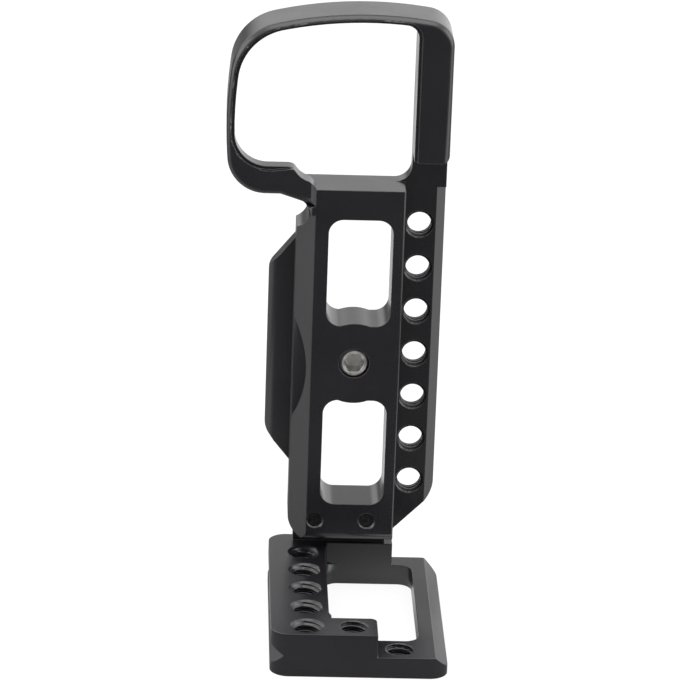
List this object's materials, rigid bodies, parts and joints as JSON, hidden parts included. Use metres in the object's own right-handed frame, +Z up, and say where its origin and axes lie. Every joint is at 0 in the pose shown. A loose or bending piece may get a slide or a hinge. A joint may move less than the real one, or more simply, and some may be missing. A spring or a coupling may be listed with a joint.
{
  "type": "l-bracket",
  "caption": "L bracket that carries a camera upright or on its side, with dovetail plates, a loop round the battery door and a captive camera screw.",
  "frame": {"origin": "where the axis of the camera screw crosses the seat that the camera's underside rests on", "axes": "+Z up the base plate away from the side plate, -Y out of the seat towards the camera, +X from the lens side to the back of the camera"},
  "size_m": [0.0497, 0.0555, 0.1336],
  "materials": {
    "black_anodised": "satin black anodised",
    "stainless": "turned stainless steel",
    "spring_steel": "dark phosphated spring steel",
    "black_oxide": "black oxide steel",
    "nylon": "natural nylon"
  },
  "bodies": {
    "bracket": {"base_plate": "black_anodised", "side_plate": "black_anodised", "retaining_ring": "spring_steel", "joint_screws": "black_oxide"},
    "washer": {"screw_washer": "nylon"},
    "screw": {"camera_screw": "stainless"}
  },
  "joints": [
    {"name": "screw_travel", "type": "slide", "parent": "bracket", "child": "washer", "axis": [0, -1, 0], "range_m": [0, 0.0047]},
    {"name": "screw_turn", "type": "hinge", "parent": "washer", "child": "screw", "pos_m": [0, 0.005, 0], "axis": [0, -1, 0], "range_deg": [0, 1332.3]}
  ],
  "couplings": [
    {"joint": "screw_turn", "follows": "screw_travel", "rad_per_m": 4947.4}
  ]
}
